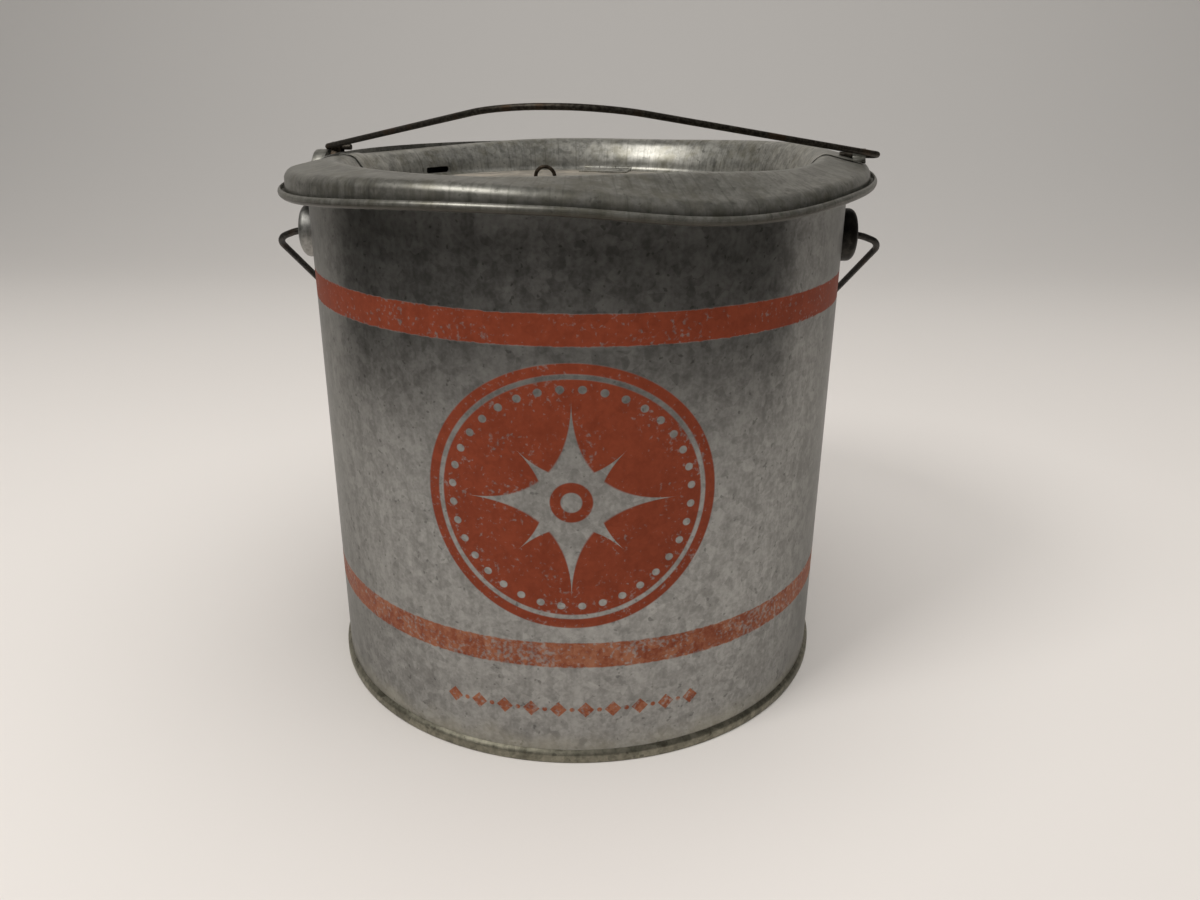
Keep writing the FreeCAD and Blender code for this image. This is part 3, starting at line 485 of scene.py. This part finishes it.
def stained_collar():
    """Drawn sheet, olive with age, with fine streaks that run out from the middle, and painted shade outside
    the crest and on faces that turn downwards.
    """
    finish = Finish("stained_collar")
    metal, level = zinc(finish, (0.25, 0.246, 0.22), (0.54, 0.525, 0.475), 30.0)
    around = finish.work("MULTIPLY", finish.around(), 0.11)
    outwards = finish.work("MULTIPLY", distance(finish, finish.x, finish.y), MM)
    drawn = finish.add("ShaderNodeCombineXYZ", {"X": around, "Y": outwards})
    streaks = finish.cloud(1.3, 2.0, stretch=(1, 14, 1), seed=3.0, where=drawn.outputs[0])
    lines = finish.work("MULTIPLY", finish.step(streaks, 0.5, 0.72), 0.4)
    metal = tint_with_stain_or_painted_shade(finish, metal, lines, (0.09, 0.085, 0.07))
    age = finish.total((0.6, finish.cloud(16.0, 4.0, seed=31.0)), (0.4, finish.cloud(4.0, 3.0, seed=32.0)))
    olive = finish.work("MULTIPLY", finish.step(age, 0.46, 0.68), 0.55)
    metal = tint_with_stain_or_painted_shade(finish, metal, olive, (0.2, 0.185, 0.125))
    # Painted shade: the collar outside the crest is darkened towards a dark olive.
    outside = finish.work("MULTIPLY", finish.step(distance(finish, finish.x, finish.y), 101.0, 109.0), 0.45)
    metal = tint_with_stain_or_painted_shade(finish, metal, outside, (0.11, 0.106, 0.088))
    # Painted shade: faces that turn downwards, such as the bead's underside, are darkened almost to black.
    normal = finish.add("ShaderNodeNewGeometry").outputs["Normal"]
    facing = finish.add("ShaderNodeSeparateXYZ", {"Vector": normal})
    painted_shade_below = finish.work("MULTIPLY", finish.under(facing.outputs[2], -0.1, 0.25), 0.85)
    metal = tint_with_stain_or_painted_shade(finish, metal, painted_shade_below, (0.03, 0.027, 0.02))
    finish.relief(finish.total((0.6, level), (0.3, streaks)), 0.1, 0.4)
    return finish.finish(metal, finish.total((0.26, level), (0.28, 1.0)), 0.74)


def lid_sheet():
    """Sheet under a film of dry tan dust."""
    finish = Finish("lid_sheet")
    metal, level = zinc(finish, (0.2, 0.185, 0.155), (0.4, 0.375, 0.325), 40.0)
    dust = finish.total((0.55, finish.cloud(11.0, 4.0, seed=41.0)), (0.45, finish.cloud(2.5, 3.0, seed=42.0)))
    film = finish.work("MULTIPLY", finish.step(dust, 0.34, 0.64), 0.8)
    colour = tint_with_stain_or_painted_shade(finish, metal, film, (0.29, 0.25, 0.2))
    finish.relief(level, 0.1, 0.4)
    return finish.finish(colour, finish.total((0.3, film), (0.42, 1.0)), finish.work("SUBTRACT", 0.8, film))


def old_wire(name, dark, light, rust, seed):
    """Drawn iron wire, blackened, with bare rubs along it and rust in patches."""
    finish = Finish(name)
    grain = finish.cloud(1.2, 3.0, seed=seed)
    patches = finish.cloud(9.0, 4.0, seed=seed + 1)
    colour = finish.tint(finish.step(grain, 0.35, 0.7), dark, light)
    colour = finish.tint(finish.work("MULTIPLY", finish.step(patches, 0.52, 0.68), 0.7), colour, rust)
    finish.relief(grain, 0.15, 0.5)
    return finish.finish(colour, finish.total((0.35, grain), (0.32, 1.0)), 0.75)


# Camera, light and floor

PITCH, ROLL = 68.53, 0.48
bpy.ops.object.camera_add(location=(0.0103, -0.4357, 0.2633))
camera = bpy.context.object
camera.rotation_euler = (Matrix.Rotation(math.radians(PITCH), 3, "X")
                         @ Matrix.Rotation(math.radians(ROLL), 3, "Z")).to_euler()
camera.data.lens = 28.97
camera.data.sensor_width = 36.0
camera.data.clip_start = 0.01
bpy.context.scene.camera = camera


def soft_light(name, place, aim, size, power, colour):
    bpy.ops.object.light_add(type="AREA", location=place)
    light = bpy.context.object
    light.name = name
    light.rotation_euler = (Vector(aim) - Vector(place)).to_track_quat("-Z", "Y").to_euler()
    light.data.size = size
    light.data.energy = power
    light.data.color = colour
    return light


soft_light("window", place=(-0.84, -0.7, 1.42), aim=(0, 0, 0.12), size=0.5, power=11.5,
           colour=(1.0, 0.985, 0.96))
ceiling = soft_light("ceiling", place=(0.3, -0.3, 2.2), aim=(0.1, 0, 0), size=2.4, power=43.0,
                     colour=(1.0, 0.99, 0.97))
ceiling.visible_glossy = False
world = bpy.data.worlds.new("studio")
bpy.context.scene.world = world
world.use_nodes = True
world.node_tree.nodes["Background"].inputs["Color"].default_value = (0.5, 0.495, 0.485, 1.0)
# The room behind the camera is dark, so reflections see less of it than the floor does.
ROOM, ROOM_IN_METAL = 0.3, 0.05
seen = world.node_tree.nodes.new("ShaderNodeLightPath")
strength = world.node_tree.nodes.new("ShaderNodeMath")
strength.operation = "MULTIPLY_ADD"
world.node_tree.links.new(seen.outputs["Is Glossy Ray"], strength.inputs[0])
strength.inputs[1].default_value, strength.inputs[2].default_value = ROOM_IN_METAL - ROOM, ROOM
world.node_tree.links.new(strength.outputs[0], world.node_tree.nodes["Background"].inputs["Strength"])
bpy.context.scene.view_settings.view_transform = "Standard"


def make_backdrop():
    """A pale floor that sweeps up into a wall far behind."""
    width, wall_height, sweep = 6.0, 3.0, 0.9
    start_piece()
    bpy.ops.mesh.primitive_plane_add(size=width, location=(0, -1.2, 0), enter_editmode=True)
    backdrop = bpy.context.object
    backdrop.name = "backdrop"
    bpy.ops.mesh.select_mode(type="EDGE")
    bpy.ops.mesh.select_all(action="DESELECT")
    mesh = bmesh.from_edit_mesh(backdrop.data)
    far = max(mesh.edges, key=lambda edge: sum(v.co.y for v in edge.verts))
    far.select_set(True)
    bmesh.update_edit_mesh(backdrop.data)
    bpy.ops.mesh.extrude_region_move(TRANSFORM_OT_translate={"value": (0, 0, wall_height)})
    bpy.ops.mesh.select_all(action="DESELECT")
    mesh = bmesh.from_edit_mesh(backdrop.data)
    for edge in mesh.edges:
        if len(edge.link_faces) == 2:
            edge.select_set(True)
    bmesh.update_edit_mesh(backdrop.data)
    bpy.ops.mesh.bevel(offset=sweep, segments=16, affect="EDGES")
    bpy.ops.mesh.select_mode(type="VERT")
    bpy.ops.object.mode_set(mode="OBJECT")
    settle(backdrop)
    smooth(backdrop, 60.0)
    finish = Finish("pale_card")
    soft = finish.cloud(300.0, 2.0)
    floor = finish.tint(soft, (0.74, 0.7, 0.665), (0.77, 0.73, 0.695))
    colour = finish.tint(finish.step(finish.y, 150.0, 1500.0), floor, (0.56, 0.54, 0.52))
    backdrop.data.materials.append(finish.finish(colour, 0.8, 0.0))


def make_dark_card():
    """A dark card round the front that only reflections see, as the unlit side of a room."""
    radius, height, open_from, open_to = 0.54, 0.5, 2.0, 164.0
    start_piece()
    bpy.ops.mesh.primitive_circle_add(vertices=96, radius=radius, enter_editmode=True)
    card = bpy.context.object
    card.name = "dark_card"
    bpy.ops.mesh.select_all(action="DESELECT")
    mesh = bmesh.from_edit_mesh(card.data)
    for vertex in mesh.verts:
        vertex.select_set(open_from < angle_of(vertex.co) < open_to)
    mesh.select_flush(True)
    bmesh.update_edit_mesh(card.data)
    bpy.ops.mesh.delete(type="VERT")
    bpy.ops.mesh.select_all(action="SELECT")
    bpy.ops.mesh.extrude_region_move(TRANSFORM_OT_translate={"value": (0, 0, height)})
    bpy.ops.object.mode_set(mode="OBJECT")
    finish = Finish("dark_card")
    colour = finish.tint(finish.cloud(200.0, 2.0), (0.02, 0.02, 0.019), (0.035, 0.034, 0.032))
    card.data.materials.append(finish.finish(colour, 0.9, 0.0))
    card.visible_camera = card.visible_diffuse = card.visible_shadow = card.visible_transmission = False


make_backdrop()
make_dark_card()


# Dents and bends

def fall(value, centre, width):
    """One at a centre, easing to nought a width away from it."""
    away = min(1.0, abs(value - centre) / width)
    return (1 + math.cos(math.pi * away)) / 2


def turned_from(angle, centre):
    """Degrees from a centre, the short way round."""
    return (angle - centre + 180.0) % 360.0 - 180.0


def ease(share):
    """From nought to one with a soft start and end."""
    share = max(0.0, min(1.0, share))
    return share * share * (3 - 2 * share)


# Pail

# Where the rim has gone down with the collar: travel, the middle of the bend and its half-width in degrees.
RIM_BENDS = {"front_right_down": (-2.7, -62.0, 40.0), "back_left_down": (-3.4, 150.0, 64.0)}


def make_pail_shell():
    """The wall, with its top edge curled over a wire and bent a little out of true."""
    foot, top, rings, curl_radius = 0.7, 224.0, 14, 1.95
    bend_from, bend_run = 198.0, 22.0
    heights = [foot] + [top * ring / rings for ring in range(1, rings)] + [RIM[1]]
    section = [(WALL, height) for height in heights] + curl(RIM, curl_radius, 180.0, -300.0)
    shell = spun_shell("pail_shell", section, outside_left=False)
    for name, (travel, middle, width) in RIM_BENDS.items():
        def share(radius, angle, height):
            return ease((height - bend_from) / bend_run) * fall(turned_from(angle, middle), 0, width)

        press(shell, name, travel, share)
    thicken(shell)
    return smooth(shell, 50.0)


def make_side_seam():
    """The folded lap that closes the wall, a flat strip at the back."""
    out, foot, top, spread, turn = WALL + 0.9, 4.1, 220.1, 3.5, 126.75
    strip = spun_strip("side_seam", [(out, foot), (out, top)], {}, spread, outside_left=False)
    thicken(strip, 1.0)
    apply_modifier(strip, "BEVEL", width=0.3 * MM, segments=3)
    smooth(strip, 40.0)
    return turn_about(strip, "Z", turn)


def make_ear_cup(name, side):
    """A pressed cup on the wall, hollow for the head of the carrying wire."""
    root, face, rim, rounding, wire_hole = 113.85, 122.2, 11.5, 3.0, 1.9
    section = [(rim, root), (rim, 116.5), (rim, face - rounding)]
    section += curl((rim - rounding, face - rounding), rounding, 0.0, 90.0, 8)
    section += [(4.5, face), (wire_hole, face)]
    cup = spun_shell(name, section, outside_left=False, sides=72)
    thicken(cup, 1.0)
    smooth(cup)
    return turn_about(cup, "Y", 90.0 * side, (0, 0, PAIL_AXIS))


def make_base_pan():
    """The foot: a rolled seam round the wall, and the floor sunk inside it."""
    section = [(114.34, 5.4), (115.0, 4.7), (115.75, 4.0), (116.0, 3.3), (116.0, 0.8), (115.8, 0.25),
               (115.3, 0.0), (113.6, 0.0), (113.0, 0.25), (112.9, 0.7), (112.9, 4.0), (112.4, 4.5),
               (80.0, 4.5), (30.0, 4.5)]
    pan = spun_shell("base_pan", section, outside_left=True)
    close_middle(pan, 31.0)
    thicken(pan)
    return smooth(pan, 40.0)


pail_shell = make_pail_shell()
side_seam = make_side_seam()
base_pan = make_base_pan()
left_ear_cup = make_ear_cup("left_ear_cup", -1)
right_ear_cup = make_ear_cup("right_ear_cup", 1)

# Float

BEAD = (123.95, 220.06)
COLLAR_TOP, COLLAR_SLOPE = 226.994, 0.23455


def collar_height(radius):
    """Height of the collar's sloping top at a radius."""
    return COLLAR_TOP - (radius - RIM[0]) * COLLAR_SLOPE


CREST = (101.5, collar_height(101.5))
SKIRT = (122.8, collar_height(122.8))
LEDGE = CREST[1] - 15.9


# How far use has bent the collar: travel, the middle of the bend and its half-width in degrees, the radii
# where it starts, is full and ends, and the height under which it works.
BENDS = {
    "left_skirt_long": (-2.8, -148.0, 75.0, 121.0, 122.0, None, 223.0),
    "front_left_up": (3.3, -112.0, 48.0, 103.0, 121.0, None, None),
    "front_right_down": (-2.7, -62.0, 32.0, 103.0, 121.0, None, None),
    "front_crest_up": (2.0, -72.0, 42.0, 93.0, 102.0, 122.0, None),
    "right_up": (3.2, 12.0, 65.0, 92.0, 104.0, None, None),
    "back_left_down": (-3.2, 150.0, 60.0, 92.0, 104.0, None, None),
}


def bend_collar(piece):
    """Bend a piece out of true with the collar."""
    for name, (travel, middle, width, start, full, end, below) in BENDS.items():
        def share(radius, angle, height):
            rising = ease((radius - start) / (full - start))
            easing = ease((end - radius) / (end - full)) if end else 1.0
            under = ease(below - height) if below else 1.0
            return rising * easing * under * fall(turned_from(angle, middle), 0, width)

        press(piece, name, travel, share)


def make_collar_shell():
    foot, knee = (94.6, LEDGE - 0.65), (95.6, LEDGE + 6.0)
    top = [(radius, collar_height(radius)) for radius in (106.5, 110.0, 113.5, 117.0)]
    wall = [tuple(Vector(knee).lerp(Vector(CREST), share)) for share in (0.3, 0.5)]
    section = [(84.0, foot[1]), foot, knee] + wall + [CREST] + top
    section += [SKIRT, (SKIRT[0], BEAD[1] + 0.8), (SKIRT[0], BEAD[1])]
    section += curl(BEAD, BEAD[0] - SKIRT[0], 180.0, 250.0)
    shell = spun_shell("collar_shell", section, outside_left=True, sides=256)
    round_ring(shell, *foot, 2.6)
    round_ring(shell, *knee, 2.8)
    round_ring(shell, *CREST, 4.6, 8)
    round_ring(shell, *SKIRT, 3.4)
    bend_collar(shell)
    thicken(shell)
    drain_turn, half_slot, slot_foot, slot_top = 139.0, 7.0, LEDGE + 0.6, LEDGE + 3.4
    drain = block((92.0, -half_slot, slot_foot), (101.0, half_slot, slot_top), drain_turn, 1.2)
    cut_away(shell, drain)
    return smooth(shell, 50.0)


def make_ledge_ring():
    section = [(72.0, LEDGE - 2.5), (72.0, LEDGE), (80.0, LEDGE), (89.0, LEDGE)]
    ring = spun_shell("ledge_ring", section, outside_left=True)
    round_ring(ring, 72.0, LEDGE, 1.2, 4)
    thicken(ring)
    return smooth(ring, 40.0)


def make_arch(name, turn, start, end, path, bends):
    """A strip of sheet bent over in an arch, with its run pointing out from the middle."""
    arch = drawn_path(name, [(start, across, height) for across, height in path], bends)
    bpy.ops.mesh.select_all(action="SELECT")
    bpy.ops.mesh.extrude_region_move(TRANSFORM_OT_translate={"value": ((end - start) * MM, 0, 0)})
    bpy.ops.mesh.select_all(action="SELECT")
    bpy.ops.mesh.normals_make_consistent(inside=False)
    bpy.ops.object.mode_set(mode="OBJECT")
    thicken(arch, 0.7, 0.0)
    apply_modifier(arch, "BEVEL", width=0.15 * MM, segments=2, angle_limit=math.radians(50.0))
    smooth(arch, 40.0)
    return turn_about(arch, "Z", turn)


def make_float_ear(name, turn, end, arches):
    """A strap up the dish wall and over the crest, with what is bent up from it to hold the lifting wire."""
    section = [(95.6, LEDGE + 6.3), (CREST[0] - 0.1, CREST[1] + 0.15), (end, collar_height(end) + 0.1)]
    ear = spun_strip(name, section, {1: (4.6, 6)}, 8.2, outside_left=False)
    thicken(ear, 0.4)
    turn_about(ear, "Z", turn)
    bend_collar(ear)
    apply_modifier(ear, "BEVEL", width=0.2 * MM, segments=2, angle_limit=math.radians(50.0))
    smooth(ear, 40.0)
    work_on(ear)
    for arch in arches:
        arch.select_set(True)
    bpy.ops.object.join()
    return ear


def make_right_float_ear():
    """The right ear: a strap with a loop of sheet over the wire."""
    loop = [(-5.4, 229.0), (-2.1, 230.6), (-2.1, 233.8), (2.1, 233.8), (2.1, 230.6), (5.4, 229.0)]
    rounds = {1: (0.8, 3), 2: (2.0, 6), 3: (2.0, 6), 4: (0.8, 3)}
    arch = make_arch("right_loop", FLOAT_TURN, 115.2, 120.4, loop, rounds)
    return make_float_ear("right_float_ear", FLOAT_TURN, 119.0, [arch])


def make_left_loop():
    """The part of the left ear that goes round the wire, in the dark rusty wire finish, which stands in as
    painted shade for the hollow round the wire's elbow.
    """
    loop = [(-4.2, 226.0), (-2.0, 228.6), (-2.0, 232.1), (2.0, 232.1), (2.0, 228.6), (4.2, 226.0)]
    rounds = {1: (0.8, 3), 2: (1.5, 5), 3: (1.5, 5), 4: (0.8, 3)}
    return make_arch("left_float_loop", FLOAT_TURN + 180.0, 108.3, 112.6, loop, rounds)


def make_left_float_ear():
    """The left ear: a strap with a low hood outside the wire's elbow."""
    hood = [(-8.6, 224.2), (-4.4, 228.8), (4.4, 228.8), (8.6, 224.2)]
    arch = make_arch("left_hood", FLOAT_TURN + 180.0, 113.8, 119.6, hood, {1: (2.8, 5), 2: (2.8, 5)})
    return make_float_ear("left_float_ear", FLOAT_TURN + 180.0, 114.5, [arch])


def make_lid():
    """The lid: a hemmed edge, a flat margin and a raised middle, slotted for the catch."""
    under = LEDGE + 0.2
    section = [(73.0, under), (75.5, under), (75.9, under + 0.2), (76.0, under + 0.6), (75.9, under + 1.0),
               (75.5, under + 1.2), (60.0, under + 1.2), (46.4, under + 1.2), (45.6, under + 1.45),
               (44.0, under + 2.35), (43.2, under + 2.6), (20.0, under + 2.6)]
    lid = spun_shell("lid_sheet", section, outside_left=False)
    close_middle(lid, 21.0)
    thicken(lid)
    for side in (-1, 1):
        cut_away(lid, block((side * 3.6 - 0.9, -71.9, under - 5.0), (side * 3.6 + 0.9, -65.1, under + 5.0),
                            FLOAT_TURN, 0.4))
    return smooth(lid, 40.0)


def make_catch_loop():
    """The catch: one wire bent into a finger loop above the lid, with two bolts under it."""
    half, top, low, back, tip = 3.6, LEDGE + 15.4, LEDGE - 3.55, -66.0, -71.3
    path = [(-half, tip, low), (-half, back, low), (-half, back, top), (half, back, top),
            (half, back, low), (half, tip, low)]
    loop = bent_wire("catch_loop", path, {1: (1.1, 4), 2: (3.55, 8), 3: (3.55, 8), 4: (1.1, 4)}, 0.7)
    return turn_about(loop, "Z", FLOAT_TURN)


collar_shell = make_collar_shell()
ledge_ring = make_ledge_ring()
left_float_ear = make_left_float_ear()
left_float_loop = make_left_loop()
right_float_ear = make_right_float_ear()
lid_sheet_piece = make_lid()
catch_loop = make_catch_loop()

# Wires


def make_carrying_bail():
    """The pail's carrying wire, hanging behind the wall."""
    hang, wire_radius = -128.19, 1.5
    half = [(121.6, 0), (125.5, 0.4), (136.6, 7.5), (120.0, 92.0), (66.0, 148.0)]
    path = half + [(-x, rise) for x, rise in reversed(half)]
    bends = {1: (3.0, 4), 2: (6.0, 6), 3: (36.0, 10), 4: (38.2, 10)}
    bends.update({len(path) - 1 - index: bend for index, bend in bends.items()})
    wire = bent_wire("carrying_bail", [(x, 0, rise) for x, rise in path], bends, wire_radius)
    return turn_about(wire, "X", hang, (0, 0, PAIL_AXIS))


def make_lifting_bail():
    """The float's wire, bent and slid over to one side, leaning forwards over the dish."""
    wire_radius, lean, tilt, sink = 1.25, 75.0, -0.3, 0.6
    path = [(110.0, 0), (127.4, 0), (24.0, 78.5), (-14.0, 78.5), (-117.0, -1.0), (-104.0, 0)]
    bends = {1: (4.5, 6), 2: (16.0, 8), 3: (16.0, 8), 4: (4.0, 6)}
    wire = bent_wire("lifting_bail", [(x, 0, rise) for x, rise in path], bends, wire_radius)
    wire.rotation_euler = (Matrix.Rotation(math.radians(FLOAT_TURN), 3, "Z")
                           @ Matrix.Rotation(math.radians(tilt), 3, "Y")
                           @ Matrix.Rotation(math.radians(lean), 3, "X")).to_euler()
    wire.location = (0, 0, (FLOAT_AXIS - sink) * MM)
    return settle(wire)


carrying_bail = make_carrying_bail()
lifting_bail = make_lifting_bail()

# Dressing

wall_finish = printed_wall()
sheet_finish = galvanised_sheet()
foot_finish = galvanised_sheet("stained_foot", (0.13, 0.122, 0.09), (0.34, 0.32, 0.25), 22.0)
# Painted shade: a near-black sheet finish for the right ear cup, which sits in shade.
shaded_ear_finish = galvanised_sheet("painted_shade_sheet", (0.012, 0.011, 0.009), (0.05, 0.047, 0.04), 25.0)
collar_finish = stained_collar()
lid_finish = lid_sheet()
black_wire = old_wire("black_wire", (0.018, 0.017, 0.015), (0.06, 0.055, 0.048), (0.05, 0.032, 0.02), 50.0)
brown_wire = old_wire("brown_wire", (0.03, 0.024, 0.018), (0.085, 0.075, 0.06), (0.075, 0.045, 0.024), 60.0)
catch_finish = old_wire("catch_wire", (0.03, 0.022, 0.014), (0.09, 0.07, 0.05), (0.1, 0.055, 0.025), 70.0)

PIECES = (
    (pail_shell, "pail", ("pail_wall", "pail_rim_wire"), "printed_wall", wall_finish),
    (side_seam, "pail", (), "printed_wall", wall_finish),
    (base_pan, "pail", ("pail_bottom",), "galvanised_sheet", foot_finish),
    (left_ear_cup, "pail", ("pail_ear_left",), "galvanised_sheet", sheet_finish),
    # The right ear cup wears the near-black painted-shade finish.
    (right_ear_cup, "pail", ("pail_ear_right",), "galvanised_sheet", shaded_ear_finish),
    (collar_shell, "float", ("float_collar", "collar_bead_wire"), "stained_collar", collar_finish),
    (ledge_ring, "float", ("float_ledge",), "stained_collar", collar_finish),
    (left_float_ear, "float", ("float_ear_left",), "stained_collar", collar_finish),
    # The left loop wears the dark wire finish as painted shade.
    (left_float_loop, "float", (), "catch_wire", catch_finish),
    (right_float_ear, "float", ("float_ear_right",), "stained_collar", collar_finish),
    (lid_sheet_piece, "lid", ("lid_plate",), "lid_sheet", lid_finish),
    (catch_loop, "lid_catch", ("catch_wire",), "catch_wire", catch_finish),
    (carrying_bail, "pail_bail", ("pail_bail",), "black_wire", black_wire),
    (lifting_bail, "float_bail", ("float_bail",), "brown_wire", brown_wire),
)
for piece, body, nodes, slot, finish in PIECES:
    piece.data.materials.clear()
    piece.data.materials.append(finish)
    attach(piece, body)
    if nodes:
        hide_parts(*nodes)

FINISHES = {"printed_wall": wall_finish, "galvanised_sheet": sheet_finish,
            "stained_collar": collar_finish, "lid_sheet": lid_finish,
            "black_wire": black_wire, "brown_wire": brown_wire, "catch_wire": catch_finish}
# The hinge lies in the dish and has its stain, and the painted shade that the collar's finish carries.
HINGE = ("ledge_hinge_leaf", "lid_hinge_leaf", "ledge_leaf_rivets", "lid_leaf_rivets", "hinge_pin")
slot_of = {row["node"]: row["material_slot"]
           for row in frame["record"].get("subparts", []) if "material_slot" in row}
for name, node in frame["nodes"].items():
    node.data.materials.clear()
    slot = "stained_collar" if name in HINGE else slot_of.get(name, "galvanised_sheet")
    node.data.materials.append(FINISHES[slot])
